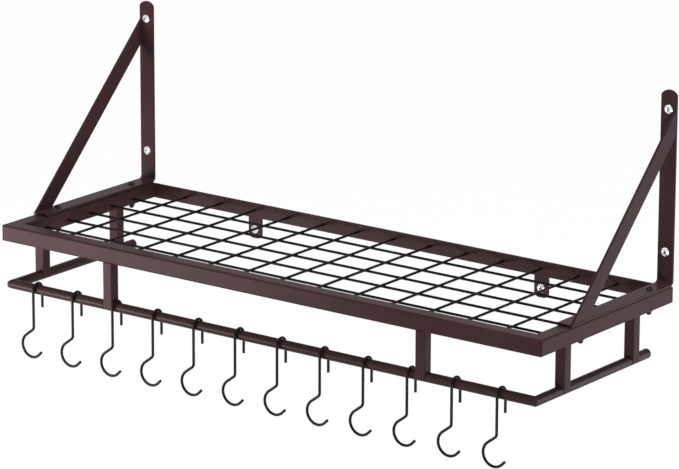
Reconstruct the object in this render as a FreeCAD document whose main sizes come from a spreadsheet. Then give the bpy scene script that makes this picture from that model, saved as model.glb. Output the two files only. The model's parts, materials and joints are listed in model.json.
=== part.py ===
"""Wall-mounted pot rack: a tube frame with a wire shelf, two braced wall brackets,
a round hook rail on short posts under the frame, and twelve loose wire hooks.

Frame of the part: origin on the wall plane, in the middle of the four bracket screws.
+X runs to the right end, +Y into the wall, +Z up. Heights in the code count from the
underside of the shelf frame, and place() brings them to the origin.
"""
import FreeCAD
import Part
import Sketcher
import os

SIZES = {
    # edges of the flat pieces and outer corners of the mitres, rounded
    "edge_round": 0.4,
    "tube_mitre_round": 2.0,
    "rail_mitre_round": 1.5,
    # shelf frame of square tube, closed at the wall by a flat bar with two screw tabs
    "overall_width": 750.0,
    "overall_depth": 256.0,
    "tube_size": 19.0,
    "tube_wall": 1.2,
    "tube_corner": 2.0,
    "bar_height": 17.4,
    "bar_thick": 3.0,
    "tab_width": 19.0,
    "tab_drop": 24.0,
    "tab_corner": 6.0,
    "tab_from_middle": 203.0,
    "tab_hole_up": 11.0,
    # shelf wires: long ones below, cross ones welded on top of them
    "wire_dia": 3.0,
    "long_wire_up": 6.9,
    "long_front_gap": 37.3,
    "long_rear_gap": 39.3,
    "cross_end_gap": 51.4,
    # wall brackets: bent strip with an arched top, and a flat brace on edge
    "strip_width": 20.0,
    "strip_thick": 3.0,
    "strip_height": 220.0,
    "arch_rise": 5.5,
    "bend_radius": 4.0,
    "brace_width": 20.0,
    "brace_thick": 3.0,
    "brace_from_top": 22.3,
    "brace_reach": 197.7,
    "foot_toe": 1.5,
    "upper_screw_from_top": 21.5,
    "lower_screw_up": 38.0,
    # posts between the frame and the hook rail
    "post_size": 12.7,
    "post_wall": 1.2,
    "post_corner": 1.2,
    "post_lap": 2.2,
    "front_post_from_end": 157.0,
    "side_post_front": 197.7,
    "side_post_rear": 63.6,
    # hook rail of round tube
    "rail_dia": 11.3,
    "rail_wall": 1.2,
    "rail_drop": 51.6,
    "rail_front_inset": 6.8,
    "rail_side_inset": 11.1,
    "rail_end_from_wall": 32.5,
    "plug_head": 2.0,
    "plug_round": 1.2,
    "plug_spigot": 8.0,
    # hooks of round wire: loop over the rail, bowl turned a quarter to hang pans from
    "hook_wire": 3.2,
    "hook_slack": 0.6,
    "hook_play": 0.1,
    "hook_tail": 23.0,
    "hook_bend_radius": 6.0,
    "hook_bowl_radius": 14.2,
    "hook_bowl_down": 65.7,
    "hook_bowl_side": 3.0,
    "hook_slope": 53.13,
    "hook_lip_angle": 44.0,
    "hook_lip": 5.5,
    # hook places in the three bays between the returns and the front posts
    "left_return_gap": 36.3,
    "left_post_before": 50.7,
    "left_post_after": 8.5,
    "right_post_before": 15.4,
    "right_post_after": 43.5,
    "right_return_gap": 43.5,
    # wall screws with a domed head and a plain neck as long as the plate is thick
    "screw_dia": 4.4,
    "screw_neck_dia": 4.8,
    "screw_hole_play": 0.6,
    "screw_head_dia": 10.0,
    "screw_head_high": 2.8,
    "screw_head_rim": 0.8,
    "screw_out": 8.0,
    "screw_tip": 3.0,
    # bolts and cap nuts that hold the bracket feet on the side tubes
    "bolt_dia": 4.0,
    "bolt_tip": 0.4,
    "bolt_hole_play": 0.5,
    "bolt_head_dia": 8.2,
    "bolt_head_high": 2.8,
    "bolt_head_rim": 0.5,
    "bolt_from_wall": 33.5,
    "bolt_behind_post": 30.0,
    "nut_flats": 7.0,
    "nut_hex_high": 3.6,
    "nut_high": 7.4,
    "nut_dome_dia": 6.4,
    "nut_thread": 5.2,
    "nut_end_gap": 0.5,
}
LONG_WIRES = 5
CROSS_WIRES = 13
MIDDLE_HOOKS = 8
CUT_MARGIN = 2.0
LEG_SPLICE = 0.75
X_AXIS = FreeCAD.Vector(1, 0, 0)
Y_AXIS = FreeCAD.Vector(0, 1, 0)
Z_AXIS = FreeCAD.Vector(0, 0, 1)


class Size:
    """A number that carries the sheet formula it comes from."""

    def __init__(self, value, text):
        self.value = float(value)
        self.text = text

    def __add__(self, other):
        other = as_size(other)
        return Size(self.value + other.value, f"({self.text} + {other.text})")

    def __sub__(self, other):
        other = as_size(other)
        return Size(self.value - other.value, f"({self.text} - {other.text})")

    def __mul__(self, other):
        other = as_size(other)
        return Size(self.value * other.value, f"({self.text} * {other.text})")

    def __truediv__(self, other):
        other = as_size(other)
        return Size(self.value / other.value, f"({self.text} / {other.text})")

    def __neg__(self):
        return Size(-self.value, f"(-1 * {self.text})")


def as_size(value):
    return value if isinstance(value, Size) else Size(value, f"({float(value)})")


def root(size):
    return Size(size.value ** 0.5, f"sqrt({size.text})")


def turned(degrees):
    """Cosine and sine of an angle in degrees."""
    ray = FreeCAD.Rotation(Z_AXIS, degrees.value).multVec(X_AXIS)
    return Size(ray.x, f"cos({degrees.text} * 1 deg)"), Size(ray.y, f"sin({degrees.text} * 1 deg)")


doc = FreeCAD.newDocument("PotRack")
sheet = doc.addObject("Spreadsheet::Sheet", "Sizes")
for row, (alias, value) in enumerate(SIZES.items(), 1):
    sheet.set(f"A{row}", alias)
    sheet.set(f"B{row}", str(value))
    sheet.setAlias(f"B{row}", alias)
doc.recompute()
size = {alias: Size(sheet.get(alias), f"Sizes.{alias}") for alias in SIZES}
screw_heights = (size["lower_screw_up"], size["strip_height"] - size["upper_screw_from_top"])
origin_up = size["tube_size"] + (screw_heights[0] + screw_heights[1]) / 2
nodes = []


def bind(item, path, value):
    """Ties one property of a document object to a size."""
    item.setExpression(path, as_size(value).text)


def place(item, x=0, y=0, z=0, axis=Z_AXIS, degrees=0):
    """Turns a piece about its own origin and ties that origin to a point."""
    item.Placement = FreeCAD.Placement(FreeCAD.Vector(), FreeCAD.Rotation(axis, degrees))
    for letter, value in zip("xyz", (x, y, as_size(z) - origin_up)):
        bind(item, f"Placement.Base.{letter}", value)
    return item


def new_body(name):
    body = doc.addObject("PartDesign::Body", name)
    body.Label = name
    return body


def new_sketch(body, purpose, plane, lift=0):
    """A sketch on one of the body's own planes, lifted along that plane's normal."""
    sketch = body.newObject("Sketcher::SketchObject", f"{body.Name}_{purpose}")
    support = next(item for item in body.Origin.OriginFeatures if item.Role == plane)
    sketch.AttachmentSupport = [(support, "")]
    sketch.MapMode = "FlatFace"
    bind(sketch, "AttachmentOffset.Base.z", lift)
    return sketch


def drive(sketch, value, kind, *where):
    """Adds a dimension to a sketch and ties it to a size."""
    value = as_size(value)
    index = sketch.addConstraint(Sketcher.Constraint(kind, *where, value.value))
    bind(sketch, f"Constraints[{index}]", value)


def point(x, y):
    return FreeCAD.Vector(as_size(x).value, as_size(y).value, 0)


def add_circle(sketch, x, y, radius):
    index = sketch.addGeometry(Part.Circle(point(x, y), Z_AXIS, radius.value))
    drive(sketch, x, "DistanceX", -1, 1, index, 3)
    drive(sketch, y, "DistanceY", -1, 1, index, 3)
    drive(sketch, radius, "Radius", index)


def add_path(sketch, corners, closed=True):
    """Joins corners with lines, and with arcs where a corner says how it is reached.

    A corner is (x, y), or (x, y, centre_x, centre_y, radius) at the end of an arc that
    runs anticlockwise; a sixth entry makes the arc run clockwise.
    """
    ends = corners[1:] + corners[:1] if closed else corners[1:]
    spans = []
    centres = {}
    for number, (start, end) in enumerate(zip(corners, ends)):
        if len(end) == 2:
            spans.append((sketch.addGeometry(Part.LineSegment(point(*start[:2]), point(*end))), 1, 2))
            continue
        clockwise = len(end) == 6
        circle = Part.Circle(point(*end[2:4]), Z_AXIS, end[4].value)
        angles = [circle.parameter(point(*corner[:2])) for corner in (start, end)]
        if clockwise:
            angles.reverse()
        index = sketch.addGeometry(Part.ArcOfCircle(circle, *angles))
        spans.append((index, 2, 1) if clockwise else (index, 1, 2))
        drive(sketch, end[2], "DistanceX", -1, 1, index, 3)
        drive(sketch, end[3], "DistanceY", -1, 1, index, 3)
        drive(sketch, end[4], "Radius", index)
        centres[number] = centres[(number + 1) % len(corners)] = circle.Center
    followers = spans[1:] + spans[:1] if closed else spans[1:]
    for here, after in zip(spans, followers):
        sketch.addConstraint(Sketcher.Constraint("Coincident", here[0], here[2], after[0], after[1]))
    for number, corner in enumerate(corners):
        where = spans[number][:2] if number < len(spans) else (spans[-1][0], spans[-1][2])
        reach = point(*corner[:2]) - centres[number] if number in centres else None
        if reach is None or abs(reach.y) > abs(reach.x):
            drive(sketch, corner[0], "DistanceX", -1, 1, *where)
        if reach is None or abs(reach.y) <= abs(reach.x):
            drive(sketch, corner[1], "DistanceY", -1, 1, *where)


def add_square(sketch, side, corner):
    """A square about the sketch's origin with rounded corners."""
    half = side / 2
    near = half - corner
    add_path(sketch, [
        (-near, -half, -near, -near, corner), (near, -half),
        (half, -near, near, -near, corner), (half, near),
        (near, half, near, near, corner), (-near, half),
        (-half, near, -near, near, corner), (-half, -near),
    ])


def feature(body, kind, sketch):
    item = body.newObject(f"PartDesign::{kind}", f"{sketch.Name}_{kind}")
    item.Profile = sketch
    return item


def pad(body, sketch, length, side="One side", backwards=False):
    item = feature(body, "Pad", sketch)
    item.SideType = side
    item.Reversed = backwards
    bind(item, "Length", length)


def cut_through(body, sketch):
    """Cuts a sketch's outline right through the body, both ways from its plane."""
    item = feature(body, "Pocket", sketch)
    item.SideType = "Symmetric"
    item.Type = "ThroughAll"


def soften(body):
    """Takes the sharpness off every edge the body has so far."""
    sharp = body.Tip
    item = body.newObject("PartDesign::Fillet", f"{body.Name}_soften")
    item.Base = (sharp, [])
    item.UseAllEdges = True
    bind(item, "Radius", size["edge_round"])


def revolve(body, sketch):
    """Turns a sketch about the upright axis of its plane."""
    item = feature(body, "Revolution", sketch)
    item.ReferenceAxis = (sketch, ["V_Axis"])
    item.Angle = 360


def sweep(body, profile, path):
    item = feature(body, "AdditivePipe", profile)
    item.Spine = path


def square_tube(name, length, side, wall, corner):
    """A square tube along X about its own middle."""
    body = new_body(name)
    ring = new_sketch(body, "ring", "YZ_Plane")
    add_square(ring, side, corner)
    add_square(ring, side - wall * 2, corner / 2)
    pad(body, ring, length, "Symmetric")
    return body


def round_tube(name, length, diameter, wall):
    """A round tube along X about its own middle."""
    body = new_body(name)
    ring = new_sketch(body, "ring", "YZ_Plane")
    add_circle(ring, 0, 0, diameter / 2)
    add_circle(ring, 0, 0, diameter / 2 - wall)
    pad(body, ring, length, "Symmetric")
    return body


def mitre(body, length, thickness, end, outer, corner):
    """Cuts one end of a tube along X at 45 degrees, longest on its outer side and rounded there."""
    tip = (length / 2 + CUT_MARGIN) * end
    heel = (length / 2 - thickness - CUT_MARGIN) * end
    side = (thickness / 2 + CUT_MARGIN) * outer
    centre_x = (length / 2 - corner) * end
    centre_y = (thickness / 2 - corner) * outer
    diagonal = corner * 0.5 ** 0.5
    rounding = (centre_x, centre_y + corner * outer, centre_x, centre_y, corner)
    wedge = new_sketch(body, "right_mitre" if end > 0 else "left_mitre", "XY_Plane")
    add_path(wedge, [
        (heel, -side), (centre_x + diagonal * end, centre_y + diagonal * outer),
        rounding if end == outer else rounding + ("clockwise",),
        (centre_x, side), (tip, side), (tip, -side),
    ])
    cut_through(body, wedge)


half_width = size["overall_width"] / 2
depth = size["overall_depth"]
tube = size["tube_size"]
side_x = half_width - tube / 2
bolt_spots = (-size["bolt_from_wall"], size["bolt_behind_post"] - size["side_post_front"])
screw_hole = (size["screw_neck_dia"] + size["screw_hole_play"]) / 2
bolt_hole = (size["bolt_dia"] + size["bolt_hole_play"]) / 2

# shelf frame: a front rail and two side rails, mitred at the front corners
front_rail = square_tube("front_rail", size["overall_width"], tube, size["tube_wall"], size["tube_corner"])
for end in (-1, 1):
    mitre(front_rail, size["overall_width"], tube, end, -1, size["tube_mitre_round"])
nodes.append(place(front_rail, y=tube / 2 - depth, z=tube / 2))

side_length = depth - size["bar_thick"]
side_middle = -(depth + size["bar_thick"]) / 2
for name, hand in (("left_rail", -1), ("right_rail", 1)):
    rail = square_tube(name, side_length, tube, size["tube_wall"], size["tube_corner"])
    mitre(rail, side_length, tube, -1, -hand, size["tube_mitre_round"])
    holes = new_sketch(rail, "holes", "XY_Plane")
    for spot in bolt_spots:
        add_circle(holes, spot - side_middle, 0, bolt_hole)
    cut_through(rail, holes)
    nodes.append(place(rail, side_x * hand, side_middle, tube / 2, Z_AXIS, 90))

# rear bar against the wall, with its two hanging screw tabs
rear_bar = new_body("rear_bar")
face = new_sketch(rear_bar, "face", "XZ_Plane")
bar_low = (tube - size["bar_height"]) / 2
bar_high = bar_low + size["bar_height"]
outline = [(-half_width, bar_high), (-half_width, bar_low)]
tab_low = -size["tab_drop"]
tab_round = size["tab_corner"]
for hand in (-1, 1):
    left = size["tab_from_middle"] * hand - size["tab_width"] / 2
    right = left + size["tab_width"]
    outline += [
        (left, bar_low), (left, tab_low + tab_round),
        (left + tab_round, tab_low, left + tab_round, tab_low + tab_round, tab_round),
        (right - tab_round, tab_low),
        (right, tab_low + tab_round, right - tab_round, tab_low + tab_round, tab_round), (right, bar_low),
    ]
add_path(face, outline + [(half_width, bar_low), (half_width, bar_high)])
pad(rear_bar, face, size["bar_thick"])
soften(rear_bar)
tab_hole_z = tab_low + size["tab_hole_up"]
tab_holes = new_sketch(rear_bar, "tab_holes", "XZ_Plane")
for hand in (-1, 1):
    add_circle(tab_holes, size["tab_from_middle"] * hand, tab_hole_z, screw_hole)
cut_through(rear_bar, tab_holes)
nodes.append(place(rear_bar))


def wire(name, length):
    rod = doc.addObject("Part::Cylinder", name)
    rod.Label = name
    bind(rod, "Radius", size["wire_dia"] / 2)
    bind(rod, "Height", length)
    nodes.append(rod)
    return rod


# shelf wires, cut to butt on the inner faces of the frame
inner_width = size["overall_width"] - tube * 2
inner_depth = depth - tube - size["bar_thick"]
long_pitch = (inner_depth - size["long_front_gap"] - size["long_rear_gap"]) / (LONG_WIRES - 1)
for number in range(1, LONG_WIRES + 1):
    rod = wire(f"long_wire_{number}", inner_width)
    across = tube - depth + size["long_front_gap"] + long_pitch * (number - 1)
    place(rod, -inner_width / 2, across, size["long_wire_up"], Y_AXIS, 90)
cross_pitch = (inner_width - size["cross_end_gap"] * 2) / (CROSS_WIRES - 1)
for number in range(1, CROSS_WIRES + 1):
    rod = wire(f"cross_wire_{number}", inner_depth)
    along = size["cross_end_gap"] - inner_width / 2 + cross_pitch * (number - 1)
    place(rod, along, -size["bar_thick"], size["long_wire_up"] + size["wire_dia"], X_AXIS, 90)

# wall brackets: strip and foot bent from one flat, standing on a side rail
thick = size["strip_thick"]
strip_half = size["strip_width"] / 2
strip_top = size["strip_height"]
foot_end = -(size["brace_reach"] + size["foot_toe"])
bend = thick + size["bend_radius"]
arch_low = strip_top - size["arch_rise"]
arch_radius = (strip_half * strip_half / size["arch_rise"] + size["arch_rise"]) / 2
for name, hand in (("left_bracket", -1), ("right_bracket", 1)):
    bracket = new_body(name)
    section = new_sketch(bracket, "section", "YZ_Plane")
    add_path(section, [
        (0, strip_top), (-thick, strip_top),
        (-thick, bend), (-bend, thick, -bend, bend, size["bend_radius"], "clockwise"),
        (foot_end, thick), (foot_end, 0),
        (-bend, 0), (0, bend, -bend, bend, bend),
    ])
    pad(bracket, section, size["strip_width"], "Symmetric")
    arch = new_sketch(bracket, "arch", "XZ_Plane")
    add_path(arch, [
        (-strip_half, arch_low, 0, strip_top - arch_radius, arch_radius),
        (-strip_half - CUT_MARGIN, arch_low), (-strip_half - CUT_MARGIN, strip_top + CUT_MARGIN),
        (strip_half + CUT_MARGIN, strip_top + CUT_MARGIN), (strip_half + CUT_MARGIN, arch_low),
        (strip_half, arch_low),
    ])
    cut_through(bracket, arch)
    soften(bracket)
    wall_holes = new_sketch(bracket, "wall_holes", "XZ_Plane")
    for height in screw_heights:
        add_circle(wall_holes, 0, height, screw_hole)
    cut_through(bracket, wall_holes)
    foot_holes = new_sketch(bracket, "foot_holes", "XY_Plane")
    for spot in bolt_spots:
        add_circle(foot_holes, 0, spot, bolt_hole)
    cut_through(bracket, foot_holes)
    nodes.append(place(bracket, side_x * hand, 0, tube))

# braces: flat bars on edge between strip and foot, flush with the strip's outer edge
brace_top = strip_top - size["brace_from_top"]
steepness = (brace_top - thick) / (size["brace_reach"] - thick)
brace_cut = size["brace_width"] * root(steepness * steepness + 1)
for name, hand in (("left_brace", -1), ("right_brace", 1)):
    brace = new_body(name)
    flat = new_sketch(brace, "flat", "YZ_Plane")
    add_path(flat, [
        (-thick, brace_top), (-size["brace_reach"], thick),
        (brace_cut / steepness - size["brace_reach"], thick), (-thick, brace_top - brace_cut),
    ])
    pad(brace, flat, size["brace_thick"], "Symmetric")
    soften(brace)
    nodes.append(place(brace, (side_x + strip_half - size["brace_thick"] / 2) * hand, 0, tube))

# posts: short square tubes under the frame, their lower ends cut to fit over the hook rail
rail_radius = size["rail_dia"] / 2
rail_x = half_width - size["rail_side_inset"]
rail_y = size["rail_front_inset"] - depth
rail_z = -size["rail_drop"]
front_post_x = half_width - size["front_post_from_end"]
post_spots = {
    "front_post_left": (-front_post_x, rail_y, 0),
    "front_post_right": (front_post_x, rail_y, 0),
    "left_post_front": (-rail_x, -size["side_post_front"], 90),
    "left_post_rear": (-rail_x, -size["side_post_rear"], 90),
    "right_post_front": (rail_x, -size["side_post_front"], 90),
    "right_post_rear": (rail_x, -size["side_post_rear"], 90),
}
for name, (x, y, degrees) in post_spots.items():
    post = new_body(name)
    ring = new_sketch(post, "ring", "XY_Plane")
    add_square(ring, size["post_size"], size["post_corner"])
    add_square(ring, size["post_size"] - size["post_wall"] * 2, size["post_corner"] / 2)
    pad(post, ring, size["rail_drop"] + size["post_lap"], backwards=True)
    saddle = new_sketch(post, "saddle", "YZ_Plane")
    add_circle(saddle, 0, rail_z, rail_radius)
    cut_through(post, saddle)
    nodes.append(place(post, x, y, 0, Z_AXIS, degrees))

# hook rail: a front run and two returns of round tube, mitred and plugged at the rear
front_run = (rail_x + rail_radius) * 2
hook_rail = round_tube("hook_rail", front_run, size["rail_dia"], size["rail_wall"])
for end in (-1, 1):
    mitre(hook_rail, front_run, size["rail_dia"], end, -1, size["rail_mitre_round"])
nodes.append(place(hook_rail, 0, rail_y, rail_z))

tube_end = -(size["rail_end_from_wall"] + size["plug_head"])
return_length = tube_end - rail_y + rail_radius
for side, hand in (("left", -1), ("right", 1)):
    back_run = round_tube(f"{side}_return", return_length, size["rail_dia"], size["rail_wall"])
    mitre(back_run, return_length, size["rail_dia"], -1, -hand, size["rail_mitre_round"])
    nodes.append(place(back_run, rail_x * hand, tube_end - return_length / 2, rail_z, Z_AXIS, 90))
    plug = new_body(f"{side}_end_plug")
    half = new_sketch(plug, "half", "XZ_Plane")
    bore = rail_radius - size["rail_wall"]
    rim = rail_radius - size["plug_round"]
    shoulder = size["plug_head"] - size["plug_round"]
    add_path(half, [
        (0, -size["plug_spigot"]), (bore, -size["plug_spigot"]), (bore, 0), (rail_radius, 0),
        (rail_radius, shoulder), (rim, size["plug_head"], rim, shoulder, size["plug_round"]),
        (0, size["plug_head"]),
    ])
    revolve(plug, half)
    nodes.append(place(plug, rail_x * hand, tube_end, rail_z, X_AXIS, -90))

# hooks: the loop and leg lie across the rail, the bowl below is turned along it
wire_radius = size["hook_wire"] / 2
loop = rail_radius + wire_radius + size["hook_slack"]
loop_z = size["hook_play"] - size["hook_slack"]
bowl = size["hook_bowl_radius"]
bowl_x = -size["hook_bowl_side"]
bowl_z = -size["hook_bowl_down"]
turn = size["hook_bend_radius"]
lean_cos, lean_sin = turned(size["hook_slope"])
lip_cos, lip_sin = turned(size["hook_lip_angle"])
bend_z = (bowl + turn - (turn + bowl_x) * lean_cos + bowl_z * lean_sin) / lean_sin
splice = bend_z * LEG_SPLICE
lip_x = bowl_x + bowl * lip_sin
lip_z = bowl_z - bowl * lip_cos
middle_pitch = front_post_x * 2 - size["left_post_after"] - size["right_post_before"]
hook_spots = [size["left_return_gap"] - rail_x, -(front_post_x + size["left_post_before"])]
for number in range(MIDDLE_HOOKS):
    hook_spots.append(size["left_post_after"] - front_post_x + middle_pitch * number / (MIDDLE_HOOKS - 1))
hook_spots += [front_post_x + size["right_post_after"], rail_x - size["right_return_gap"]]
for number, spot in enumerate(hook_spots, 1):
    hook = new_body(f"hook_{number}")
    over = new_sketch(hook, "over", "YZ_Plane")
    add_path(over, [
        (loop, -size["hook_tail"]), (loop, loop_z), (-loop, loop_z, 0, loop_z, loop), (-loop, splice),
    ], closed=False)
    tail_end = new_sketch(hook, "tail_end", "XY_Plane", -size["hook_tail"])
    add_circle(tail_end, 0, loop, wire_radius)
    sweep(hook, tail_end, over)
    under = new_sketch(hook, "under", "XZ_Plane", loop)
    add_path(under, [
        (0, splice), (0, bend_z),
        (turn * lean_cos - turn, bend_z - turn * lean_sin, -turn, bend_z, turn, "clockwise"),
        (bowl_x - bowl * lean_cos, bowl_z + bowl * lean_sin),
        (lip_x, lip_z, bowl_x, bowl_z, bowl),
        (lip_x + size["hook_lip"] * lip_cos, lip_z + size["hook_lip"] * lip_sin),
    ], closed=False)
    leg_end = new_sketch(hook, "leg_end", "XY_Plane", splice)
    add_circle(leg_end, 0, -loop, wire_radius)
    sweep(hook, leg_end, under)
    nodes.append(place(hook, spot, rail_y, rail_z))


def dome(radius, rim, height):
    """Centre height and radius of a cap that rises from a rim to its middle."""
    rise = height - rim
    cap = (radius * radius / rise + rise) / 2
    return height - cap, cap


def headed_pin(name, shank, head, rim, height):
    """A round pin under a domed head that sits on the plane Z = 0.

    The shank is given by the corners of its half outline, from the tip up to the head.
    """
    body = new_body(name)
    half = new_sketch(body, "half", "XZ_Plane")
    cap_z, cap = dome(head, rim, height)
    add_path(half, [(0, shank[0][1])] + shank + [(head, 0), (head, rim), (0, height, 0, cap_z, cap)])
    revolve(body, half)
    return body


def group(name, master, spots, axis, degrees):
    """Sets one fastener at several places as separate solids of one piece."""
    links = []
    for number, (x, y, z) in enumerate(spots, 1):
        link = doc.addObject("App::Link", f"{name}_{number}")
        link.LinkedObject = master
        links.append(place(link, x, y, z, axis, degrees))
    cluster = doc.addObject("Part::Compound", name)
    cluster.Label = name
    cluster.Links = links
    nodes.append(cluster)


# six wall screws: two through each strip, one through each tab
screw_spots = [(side_x * hand, -thick, tube + height) for hand in (-1, 1) for height in screw_heights]
screw_spots += [(size["tab_from_middle"] * hand, -size["bar_thick"], tab_hole_z) for hand in (-1, 1)]
screw_radius = size["screw_dia"] / 2
neck_radius = size["screw_neck_dia"] / 2
screw_low = -(thick + size["screw_out"])
screw = headed_pin(
    "screw",
    [
        (screw_radius - size["screw_tip"] / 2, screw_low), (screw_radius, screw_low + size["screw_tip"]),
        (screw_radius, -thick), (neck_radius, -thick), (neck_radius, 0),
    ],
    size["screw_head_dia"] / 2, size["screw_head_rim"], size["screw_head_high"],
)
group("wall_screws", screw, screw_spots, X_AXIS, 90)

# four bolts down through feet and side rails, each with a cap nut below
bolt_radius = size["bolt_dia"] / 2
bolt_low = size["nut_end_gap"] - size["nut_thread"] - tube - thick
bolt = headed_pin(
    "bolt",
    [
        (bolt_radius - size["bolt_tip"] / 2, bolt_low), (bolt_radius, bolt_low + size["bolt_tip"]),
        (bolt_radius, 0),
    ],
    size["bolt_head_dia"] / 2, size["bolt_head_rim"], size["bolt_head_high"],
)
bolt_places = [(side_x * hand, spot) for hand in (-1, 1) for spot in bolt_spots]
group("foot_bolts", bolt, [(x, y, tube + thick) for x, y in bolt_places], Z_AXIS, 0)

nut = new_body("nut")
dome_radius = size["nut_dome_dia"] / 2
hex_low = -size["nut_hex_high"]
dome_z = dome_radius - size["nut_high"]
cap_half = new_sketch(nut, "cap_half", "XZ_Plane")
add_path(cap_half, [
    (0, hex_low / 2), (0, -size["nut_high"]),
    (dome_radius, dome_z, 0, dome_z, dome_radius), (dome_radius, hex_low / 2),
])
revolve(nut, cap_half)
hexagon = new_sketch(nut, "hexagon", "XY_Plane")
flat_half = size["nut_flats"] / 2
corner = size["nut_flats"] / 3 ** 0.5
add_path(hexagon, [
    (corner, 0), (corner / 2, flat_half), (-corner / 2, flat_half),
    (-corner, 0), (-corner / 2, -flat_half), (corner / 2, -flat_half),
])
pad(nut, hexagon, size["nut_hex_high"], backwards=True)
thread = new_sketch(nut, "thread", "XY_Plane")
add_circle(thread, 0, 0, bolt_radius)
blind = feature(nut, "Pocket", thread)
bind(blind, "Length", size["nut_thread"])
group("cap_nuts", nut, [(x, y, 0) for x, y in bolt_places], Z_AXIS, 0)

doc.recompute()
os.makedirs("parts", exist_ok=True)
for item in doc.Objects:
    if {"Invalid", "Error"} & set(item.State):
        raise RuntimeError(f"{item.Name} did not build: {item.State}")
for node in nodes:
    if node.Shape.isNull() or not node.Shape.isValid():
        raise RuntimeError(f"{node.Label} has no valid shape")
    node.Shape.exportStep(f"parts/{node.Label}.step")
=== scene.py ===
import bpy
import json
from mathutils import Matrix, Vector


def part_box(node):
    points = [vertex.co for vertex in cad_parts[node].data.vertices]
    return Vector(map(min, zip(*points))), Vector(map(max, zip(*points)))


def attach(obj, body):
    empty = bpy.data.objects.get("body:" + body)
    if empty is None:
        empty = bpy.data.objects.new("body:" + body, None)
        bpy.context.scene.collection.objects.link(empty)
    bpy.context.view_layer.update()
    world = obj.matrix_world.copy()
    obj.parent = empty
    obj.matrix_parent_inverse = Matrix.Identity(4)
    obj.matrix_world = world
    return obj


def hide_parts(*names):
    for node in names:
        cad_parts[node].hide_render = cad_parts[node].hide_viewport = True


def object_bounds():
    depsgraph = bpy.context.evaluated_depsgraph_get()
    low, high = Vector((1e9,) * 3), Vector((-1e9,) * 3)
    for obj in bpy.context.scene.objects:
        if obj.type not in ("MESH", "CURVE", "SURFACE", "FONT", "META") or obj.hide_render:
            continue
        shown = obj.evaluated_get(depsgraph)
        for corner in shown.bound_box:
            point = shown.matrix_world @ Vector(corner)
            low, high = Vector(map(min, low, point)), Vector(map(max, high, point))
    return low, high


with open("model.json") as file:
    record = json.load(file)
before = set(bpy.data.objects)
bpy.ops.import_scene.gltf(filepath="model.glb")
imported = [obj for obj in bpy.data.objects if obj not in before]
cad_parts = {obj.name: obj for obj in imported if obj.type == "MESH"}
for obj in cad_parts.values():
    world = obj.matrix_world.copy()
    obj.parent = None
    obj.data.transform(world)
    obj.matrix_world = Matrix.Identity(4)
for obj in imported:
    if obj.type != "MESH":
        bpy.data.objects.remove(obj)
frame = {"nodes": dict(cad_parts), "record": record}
cad_box = [list(corner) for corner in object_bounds()]

import json
import math

import bpy
from mathutils import Matrix, Vector

MM = 0.001
SAME_POINT = 0.002 * MM


# Where the fasteners sit, in millimetres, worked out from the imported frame.

def span(node):
    """Lowest and highest corner of a CAD node in millimetres."""
    return [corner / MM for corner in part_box(node)]


def both(distance):
    """The same distance to the left and to the right, or below and above."""
    return (-distance, distance)


mounts = {mount["name"]: mount for mount in frame["record"]["mounts"]}
strip_screws = mounts["bracket_screws"]["dims"]
tab_screws = mounts["tab_screws"]["dims"]
tab_screw_z = mounts["tab_screws"]["pos_m"][2] / MM
bar_low, bar_high = span("rear_bar")
plate = bar_high.y - bar_low.y
bracket_low, bracket_high = span("right_bracket")
side_x = (bracket_low.x + bracket_high.x) / 2
foot_top = bracket_low.z + plate
nuts_low, nuts_high = span("cap_nuts")
nut_half_flats = 3.5
bolt_ys = (nuts_high.y - nut_half_flats, nuts_low.y + nut_half_flats)

screw_spots = [
    (x, -plate, z)
    for x in both(strip_screws["spacing_x_mm"] / 2)
    for z in both(strip_screws["spacing_y_mm"] / 2)
]
screw_spots += [(x, -plate, tab_screw_z) for x in both(tab_screws["spacing_x_mm"] / 2)]
bolt_spots = [(x, y, foot_top) for x in both(side_x) for y in bolt_ys]
nut_spots = [(x, y, nuts_high.z) for x in both(side_x) for y in bolt_ys]


# Materials, with one function for colours and one for nodes.

def linear(hex_colour):
    """An sRGB hex colour as linear RGBA."""
    parts = [int(hex_colour[i:i + 2], 16) / 255 for i in (1, 3, 5)]
    return [c / 12.92 if c <= 0.04045 else ((c + 0.055) / 1.055) ** 2.4 for c in parts] + [1.0]


def add(tree, kind, links=(), **settings):
    """Adds a node, sets its properties and sockets, and links its inputs."""
    made = tree.nodes.new(kind)
    for key, value in settings.items():
        if hasattr(made, key):
            setattr(made, key, value)
        else:
            made.inputs[key.replace("_", " ")].default_value = value
    for socket, source in dict(links).items():
        tree.links.new(source, made.inputs[socket])
    return made


def new_material(name, **sockets):
    """A material whose uniform values sit on the shader's own sockets."""
    material = bpy.data.materials.new(name)
    material.use_nodes = True
    shader = material.node_tree.nodes["Principled BSDF"]
    for socket, value in sockets.items():
        shader.inputs[socket.replace("_", " ")].default_value = value
    return material, material.node_tree, shader


def per_metre(millimetres):
    """Noise scale whose features are about this many millimetres across."""
    return 1.0 / (millimetres * MM)


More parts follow.
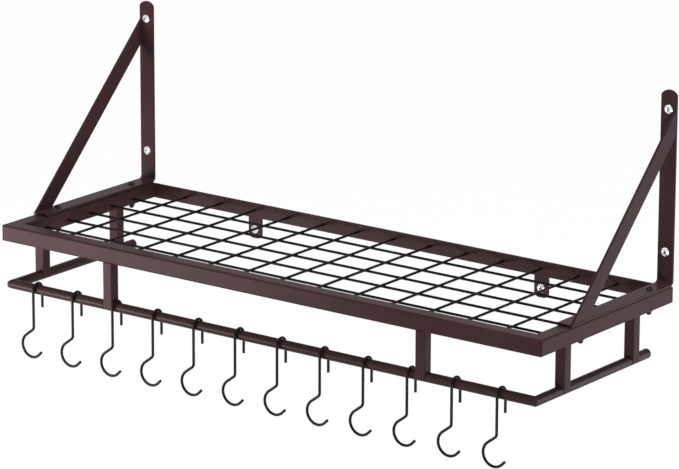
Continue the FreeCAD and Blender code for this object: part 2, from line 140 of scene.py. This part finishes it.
def satin_skin(name, dark, light, roughness, gloss):
    """A satin skin with the fine peel of melted powder or moulded plastic, and a faint drift of tone
    where it is thicker. Its grain is drawn coarser than real powder, so that it shows."""
    material, tree, shader = new_material(name, Specular_IOR_Level=gloss)
    place = add(tree, "ShaderNodeTexCoord").outputs["Object"]
    drift = add(tree, "ShaderNodeTexNoise", {"Vector": place}, Scale=per_metre(70), Detail=2.0)
    grain = add(tree, "ShaderNodeTexNoise", {"Vector": place}, Scale=per_metre(1.2), Detail=3.0)
    both_noises = {0: drift.outputs["Fac"], 1: grain.outputs["Fac"]}
    tone = add(tree, "ShaderNodeMath", both_noises, operation="MULTIPLY")
    # Two noises of about a half multiply to about a quarter, so the ramp spans that.
    ramp = add(tree, "ShaderNodeValToRGB", {"Fac": tone.outputs["Value"]})
    ramp.color_ramp.elements[0].position = 0.12
    ramp.color_ramp.elements[0].color = linear(dark)
    ramp.color_ramp.elements[1].position = 0.42
    ramp.color_ramp.elements[1].color = linear(light)
    sheen = add(tree, "ShaderNodeMapRange", {"Value": grain.outputs["Fac"]})
    sheen.inputs["To Min"].default_value = roughness - 0.05
    sheen.inputs["To Max"].default_value = roughness + 0.05
    peel = add(tree, "ShaderNodeTexNoise", {"Vector": place}, Scale=per_metre(2.0), Detail=1.0)
    bump = add(tree, "ShaderNodeBump", {"Height": peel.outputs["Fac"]}, Strength=0.06, Distance=0.05 * MM)
    tree.links.new(ramp.outputs["Color"], shader.inputs["Base Color"])
    tree.links.new(sheen.outputs["Result"], shader.inputs["Roughness"])
    tree.links.new(bump.outputs["Normal"], shader.inputs["Normal"])
    return material


def treated_steel(name, grain, detail, tones, roughness, **sockets):
    """Steel under a thin plating or oxide, speckled in tone and polish by a grain in millimetres,
    which is drawn coarser than the real one, so that it shows."""
    material, tree, shader = new_material(name, **sockets)
    place = add(tree, "ShaderNodeTexCoord").outputs["Object"]
    speckle = add(tree, "ShaderNodeTexNoise", {"Vector": place}, Scale=per_metre(grain), Detail=detail)
    ramp = add(tree, "ShaderNodeValToRGB", {"Fac": speckle.outputs["Fac"]})
    for stop, tone in zip(ramp.color_ramp.elements, tones):
        stop.color = linear(tone)
    sheen = add(tree, "ShaderNodeMapRange", {"Value": speckle.outputs["Fac"]})
    sheen.inputs["To Min"].default_value, sheen.inputs["To Max"].default_value = roughness
    tree.links.new(ramp.outputs["Color"], shader.inputs["Base Color"])
    tree.links.new(sheen.outputs["Result"], shader.inputs["Roughness"])
    return material


# Powder coat baked on tubes and flats: a satin brown-black that hardly mirrors anything.
bronze_coat = satin_skin("bronze_powder_coat", "#342225", "#3d292c", roughness=0.32, gloss=0.02)

# The same coat on the round rail, painted a little darker as shade, with a soft line of light along the
# tube from its gloss.
rail_skin_painted_shade = satin_skin("rail_powder_painted_shade", "#2b1b1d", "#332325", roughness=0.34, gloss=0.055)

# The same coat on the bent hooks, painted near black as shade, with a thin shine on the round wire.
hook_skin_painted_shade = satin_skin("hook_powder_painted_shade", "#170d0f", "#1f1315", roughness=0.32, gloss=0.06)

# The same coat on the shelf wires, painted the darkest as shade, so that the grid reads black against the
# light.
wire_skin_painted_shade = satin_skin("wire_powder_painted_shade", "#130b0c", "#191011", roughness=0.3, gloss=0.03)

# Moulded plastic of the end plugs: the rail's tone, darker and duller.
plug_plastic = satin_skin("moulded_plug_plastic", "#241719", "#2b1d20", roughness=0.5, gloss=0.08)

# Bright zinc plate on the wall screws: near white metal, finely speckled by the plating.
bright_zinc = treated_steel(
    "bright_zinc_plate", grain=0.5, detail=2.0,
    tones=("#cfd0d3", "#e8e8e7"), roughness=(0.22, 0.36), Metallic=1.0)

# Zinc down in a driver recess, painted dark as the shade down in the recess, and rougher, so that the cross
# reads dark.
recess_painted_shade_zinc = treated_steel(
    "zinc_recess_painted_shade", grain=0.5, detail=2.0,
    tones=("#29282a", "#3d3c3e"), roughness=(0.4, 0.55), Metallic=1.0)

# Black oxide on bolts and nuts: an oily near black with a soft shine.
black_oxide = treated_steel(
    "black_oxide_steel", grain=1.5, detail=3.0,
    tones=("#0b0708", "#171112"), roughness=(0.3, 0.45), Specular_IOR_Level=0.12)


def skin_of(name):
    """The coat of a CAD node, by what the piece is; the rail, hooks and wires get darker copies of one coat
    as painted shade.
    """
    if name in ("hook_rail", "left_return", "right_return"):
        return rail_skin_painted_shade
    if name.startswith("hook_"):
        return hook_skin_painted_shade
    if "_wire_" in name:
        return wire_skin_painted_shade
    if name.endswith("end_plug"):
        return plug_plastic
    return bronze_coat


for name, node in frame["nodes"].items():
    node.data.materials.clear()
    node.data.materials.append(skin_of(name))


# Fasteners, each kind modelled once at the origin with its seat on Z = 0 and copied to its places.

def pick(choose):
    """Selects the vertices of the mesh in hand that pass a test on their place in millimetres."""
    bpy.ops.object.mode_set(mode="OBJECT")
    mesh = bpy.context.object.data
    for part in (*mesh.polygons, *mesh.edges):
        part.select = False
    for vertex in mesh.vertices:
        vertex.select = bool(choose(vertex.co / MM))
    bpy.ops.object.mode_set(mode="EDIT")


def turn(name, outline, sides):
    """Turns a solid from an outline of (radius, height) corners in millimetres, ring by ring."""
    bpy.ops.object.select_all(action="DESELECT")
    radius, height = outline[0]
    bpy.ops.mesh.primitive_circle_add(
        vertices=sides, radius=radius * MM, fill_type="NGON", location=(0, 0, 0))
    piece = bpy.context.object
    piece.name = name
    bpy.ops.object.mode_set(mode="EDIT")
    bpy.ops.mesh.select_mode(type="VERT")
    bpy.ops.mesh.select_all(action="SELECT")
    bpy.ops.transform.translate(value=(0, 0, height * MM))
    for next_radius, next_height in outline[1:]:
        rise = (next_height - height) * MM
        scale = next_radius / radius
        bpy.ops.mesh.extrude_region_move(TRANSFORM_OT_translate={"value": (0, 0, rise)})
        bpy.ops.transform.resize(value=(scale, scale, 1), center_override=(0, 0, next_height * MM))
        radius, height = next_radius, next_height
    bpy.ops.mesh.select_all(action="SELECT")
    bpy.ops.mesh.normals_make_consistent(inside=False)
    bpy.ops.object.mode_set(mode="OBJECT")
    return piece


def carve(piece, cutter, operation="DIFFERENCE"):
    """Cuts, clips or fills out a piece with another one, which is then thrown away."""
    bpy.ops.object.select_all(action="DESELECT")
    bpy.context.view_layer.objects.active = piece
    piece.select_set(True)
    knife = piece.modifiers.new("carve", "BOOLEAN")
    knife.operation = operation
    knife.object = cutter
    knife.solver = "EXACT"
    bpy.ops.object.modifier_apply(modifier=knife.name)
    bpy.data.objects.remove(cutter)


def bar_cutter(width, length, top, low, draft, degrees):
    """A bar that cuts one slot of a cross recess. Its foot has the size of its top times the draft."""
    middle = (top + low) / 2
    bpy.ops.object.select_all(action="DESELECT")
    bpy.ops.mesh.primitive_cube_add(size=MM, location=(0, 0, 0))
    bar = bpy.context.object
    bpy.ops.object.mode_set(mode="EDIT")
    bpy.ops.mesh.select_all(action="SELECT")
    bpy.ops.transform.resize(value=(length, width, top - low), center_override=(0, 0, 0))
    bpy.ops.transform.translate(value=(0, 0, middle * MM))
    pick(lambda at: at.z < middle)
    bpy.ops.transform.resize(value=(draft, draft, 1), center_override=(0, 0, 0))
    bpy.ops.mesh.select_all(action="SELECT")
    bpy.ops.transform.rotate(value=math.radians(degrees), orient_axis="Z", center_override=(0, 0, 0))
    bpy.ops.object.mode_set(mode="OBJECT")
    return bar


def dome(radius, rim, height, steps):
    """Corners of a round cap that rises from a rim to a tiny flat in its middle."""
    rise = height - rim
    sphere = (radius * radius / rise + rise) / 2
    corners = []
    for step in range(1, steps):
        across = radius * math.cos(step / steps * math.pi / 2)
        corners.append((across, height - sphere + math.sqrt(sphere * sphere - across * across)))
    return corners + [(radius * 0.02, height)]


def headed(shank, radius, edge, band, rim, height, steps):
    """Outline of a headed pin: its shank, the broken edge under the head, an upright band and a dome."""
    seat = [(radius - edge, 0.0), (radius, edge), (radius, band)]
    return [*shank, *seat, *dome(radius, rim, height, steps)]


def smooth(piece, degrees=35):
    """Merges doubles, points the faces outwards and smooths all but the real edges."""
    bpy.ops.object.select_all(action="DESELECT")
    bpy.context.view_layer.objects.active = piece
    piece.select_set(True)
    bpy.ops.object.mode_set(mode="EDIT")
    bpy.ops.mesh.select_all(action="SELECT")
    bpy.ops.mesh.remove_doubles(threshold=SAME_POINT)
    bpy.ops.mesh.normals_make_consistent(inside=False)
    bpy.ops.object.mode_set(mode="OBJECT")
    bpy.ops.object.shade_smooth_by_angle(angle=math.radians(degrees))


def join(*pieces):
    """Joins the pieces into the first of them."""
    bpy.ops.object.select_all(action="DESELECT")
    for piece in pieces:
        piece.select_set(True)
    bpy.context.view_layer.objects.active = pieces[0]
    bpy.ops.object.join()
    return pieces[0]


def set_out(master, name, spots, tilt, node, slot, *finishes):
    """Copies a modelled fastener to its places, each copy with its own mesh, in place of a CAD node."""
    for finish in finishes:
        master.data.materials.append(finish)
    for number, spot in enumerate(spots, 1):
        bpy.ops.object.select_all(action="DESELECT")
        copy = master.copy()
        copy.data = master.data.copy()
        copy.name = f"{name}_{number}"
        bpy.context.scene.collection.objects.link(copy)
        copy.rotation_euler = tilt
        copy.location = Vector(spot) * MM
        copy.select_set(True)
        bpy.context.view_layer.objects.active = copy
        bpy.ops.object.transform_apply(location=True, rotation=True, scale=True)
        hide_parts(node)
        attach(copy, "rack")
    bpy.data.objects.remove(master)


HEAD_UP = (0, 0, 0)
HEAD_TO_ROOM = (math.radians(90), 0, 0)

# Wall screw: pan head with a cross recess and a plain neck through the plate.
neck = 2.4
pan_outline = headed(
    [(neck, -plate), (neck, 0.0)], radius=5.0, edge=0.15, band=0.55, rim=0.6, height=2.2, steps=12)
head = turn("wall_screw", pan_outline, 48)
cross_degrees = 4
for degrees in (cross_degrees, cross_degrees + 90):
    carve(head, bar_cutter(width=1.3, length=5.4, top=2.3, low=0.5, draft=0.6, degrees=degrees))

# Its coarse thread behind the plate: one tooth, drawn corner by corner from the root and wound down.
root = 1.55
thread_top = -2.9
tooth_depth = 0.63
tooth = [(0.0, -0.45), (tooth_depth, -0.45), (0.0, -0.12), (-tooth_depth, -0.38)]
pitch = sum(-down for across, down in tooth)
bpy.ops.object.select_all(action="DESELECT")
bpy.ops.mesh.primitive_plane_add(size=MM, location=(0, 0, 0))
thread = bpy.context.object
bpy.ops.object.mode_set(mode="EDIT")
bpy.ops.mesh.select_all(action="SELECT")
bpy.ops.mesh.merge(type="CENTER")
bpy.ops.transform.translate(value=(root * MM, 0, thread_top * MM))
for across, down in tooth:
    bpy.ops.mesh.extrude_region_move(TRANSFORM_OT_translate={"value": (across * MM, 0, down * MM)})
bpy.ops.object.mode_set(mode="OBJECT")
winding = thread.modifiers.new("winding", "SCREW")
winding.axis = "Z"
winding.screw_offset = -pitch * MM
winding.iterations = 4
winding.steps = winding.render_steps = 28
winding.use_merge_vertices = True
winding.merge_threshold = SAME_POINT
bpy.context.view_layer.objects.active = thread
bpy.ops.object.modifier_apply(modifier=winding.name)
bpy.ops.object.mode_set(mode="EDIT")
bpy.ops.mesh.select_all(action="SELECT")
bpy.ops.mesh.remove_doubles(threshold=SAME_POINT)
bpy.ops.mesh.fill_holes(sides=0)
bpy.ops.object.mode_set(mode="OBJECT")
point = turn("screw_point", [(1.6, -7.6), (1.75, -8.4), (1.3, -9.8), (0.7, -11.0)], 28)
screw = join(head, thread, point)
smooth(screw)

# The faces down in the cross take the second material, the zinc painted dark as the shade of the recess.
recess_floor = 0.3
recess_mouth = 1.7
recess_reach = 2.75
for face in screw.data.polygons:
    centre = face.center / MM
    in_cross = math.hypot(centre.x, centre.y) < recess_reach and recess_floor < centre.z < recess_mouth
    face.material_index = int(in_cross)
set_out(screw, "wall_screw", screw_spots, HEAD_TO_ROOM, "wall_screws", "zinc", bright_zinc, recess_painted_shade_zinc)

# Foot bolt: button head with a hexagon socket on a plain shank.
shank = 2.0
bolt_end = -26.7
bolt_tip = 0.4
bolt_shank = [(shank - bolt_tip / 2, bolt_end), (shank, bolt_end + bolt_tip), (shank, 0.0)]
bolt_outline = headed(bolt_shank, radius=4.1, edge=0.1, band=0.4, rim=0.5, height=2.8, steps=9)
bolt = turn("foot_bolt", bolt_outline, 48)
socket_corner = 1.45
socket = turn("socket", [(1.15, 0.9), (socket_corner, 1.1), (socket_corner, 3.4)], 6)
carve(bolt, socket)
smooth(bolt)
set_out(bolt, "foot_bolt", bolt_spots, HEAD_UP, "foot_bolts", "black_steel", black_oxide)

# Cap nut: hexagon with turned-off corners, and a domed cap below it.
nut_corner = 4.04
nut_height = 3.6
nut = turn("cap_nut", [(nut_corner, -nut_height), (nut_corner, 0.0)], 6)
turned_face = 3.45
turned_side = 4.1
chamfer = 0.4
clear = 0.01
shaper_outline = [
    (turned_face, -nut_height - clear), (turned_side, chamfer - nut_height),
    (turned_side, -chamfer), (turned_face, clear),
]
shaper = turn("shaper", shaper_outline, 64)
carve(nut, shaper, "INTERSECT")
cap_radius = 3.2
cap_centre = -4.2
cap_angles = [math.radians(10 * step) for step in range(9)]
cap_dome = [(cap_radius * math.cos(a), cap_centre - cap_radius * math.sin(a)) for a in cap_angles]
cap_outline = [(3.0, -3.4), (cap_radius, -3.5), *cap_dome, (0.06, cap_centre - cap_radius)]
cap = turn("cap", cap_outline, 48)
carve(nut, cap, "UNION")
smooth(nut)
set_out(nut, "cap_nut", nut_spots, HEAD_UP, "cap_nuts", "black_steel", black_oxide)


# Stage, in metres: pale floor, soft studio light, white background.

STUDIO_GLOW = 0.15
FLOOR_WHITE = 1.08
FLOOR_OWN_WHITE = 0.9
FLOOR_SIZE = 120
FLOOR_BELOW = 0.6


def area_light(name, place, aim, size, power):
    """A flat white panel of light that looks at a point and isn't seen itself."""
    data = bpy.data.lights.new(name, "AREA")
    data.shape = "RECTANGLE"
    data.size, data.size_y = size
    data.energy = power
    lamp = bpy.data.objects.new(name, data)
    bpy.context.scene.collection.objects.link(lamp)
    lamp.location = place
    lamp.rotation_euler = (Vector(aim) - Vector(place)).to_track_quat("-Z", "Y").to_euler()
    lamp.visible_camera = False


def seen_white(tree):
    """1 for the rays that show the background: camera, glossy and see-through ones."""
    path = add(tree, "ShaderNodeLightPath").outputs
    seen = path["Is Camera Ray"]
    for kind in ("Is Glossy Ray", "Is Transmission Ray"):
        seen = add(tree, "ShaderNodeMath", {0: seen, 1: path[kind]}, operation="MAXIMUM").outputs["Value"]
    return seen


# The floor is white of its own to those rays, with a part of real floor that keeps the shadow.
bpy.ops.object.select_all(action="DESELECT")
bpy.ops.mesh.primitive_plane_add(size=FLOOR_SIZE, location=(0, 0, cad_box[0][2] - FLOOR_BELOW))
floor = bpy.context.object
floor.name = "floor"
pale_floor, tree, shader = new_material("pale_floor", Base_Color=linear("#e8e8e8"), Roughness=0.9)
white = add(tree, "ShaderNodeEmission", Strength=FLOOR_WHITE)
share = add(tree, "ShaderNodeMapRange", {"Value": seen_white(tree)}, To_Max=FLOOR_OWN_WHITE)
layers = {0: share.outputs["Result"], 1: shader.outputs["BSDF"], 2: white.outputs["Emission"]}
blend = add(tree, "ShaderNodeMixShader", layers)
tree.links.new(blend.outputs["Shader"], tree.nodes["Material Output"].inputs["Surface"])
floor.data.materials.append(pale_floor)

# The world is white to those rays and lights the object with a low even glow.
world = bpy.data.worlds.new("studio")
bpy.context.scene.world = world
world.use_nodes = True
tree = world.node_tree
glow = add(tree, "ShaderNodeMapRange", {"Value": seen_white(tree)}, To_Min=STUDIO_GLOW, To_Max=1.0)
tree.nodes["Background"].inputs["Color"].default_value = (1, 1, 1, 1)
tree.links.new(glow.outputs["Result"], tree.nodes["Background"].inputs["Strength"])

# Lamps, in turn for the left end of the front, the rest of it, the right faces, the tops and the back.
area_light("front_left_panel", (-0.6, -0.74, -0.3), aim=(-0.22, -0.25, -0.14), size=(0.46, 0.22), power=8.6)
area_light("front_right_lamp", (1.02, -1.22, -0.58), aim=(0, -0.2, -0.15), size=(0.16, 0.16), power=10)
area_light("right_panel", (0.85, 0.43, -0.24), aim=(0.37, -0.1, -0.08), size=(0.55, 0.6), power=4.9)
area_light("top_panel", (0.3, -0.3, 1.5), aim=(0, -0.13, 0), size=(1.2, 1.2), power=29)
area_light("rear_panel", (-0.35, 1.3, -0.55), aim=(0, 0, -0.1), size=(0.8, 0.5), power=8)

# Camera, solved from the photograph's straight edges: pixels, degrees and metres.
PHOTO_WIDTH = 679
FOCAL_PIXELS = 4181.3
BEARING = 36.8206
LOOK_DOWN = 15.5749
ROLL = 0.1715
EYE = (2.71389, -3.73333, 1.16313)

camera_data = bpy.data.cameras.new("camera")
camera_data.sensor_width = 36.0
camera_data.sensor_fit = "HORIZONTAL"
camera_data.lens = FOCAL_PIXELS / PHOTO_WIDTH * camera_data.sensor_width
camera_data.clip_end = 100
camera = bpy.data.objects.new("camera", camera_data)
bpy.context.scene.collection.objects.link(camera)
bearing = Matrix.Rotation(math.radians(BEARING), 4, "Z")
tilt = Matrix.Rotation(math.radians(90 - LOOK_DOWN), 4, "X")
roll = Matrix.Rotation(math.radians(ROLL), 4, "Z")
camera.matrix_world = Matrix.Translation(EYE) @ bearing @ tilt @ roll
bpy.context.scene.camera = camera
bpy.context.scene.view_settings.view_transform = "Standard"
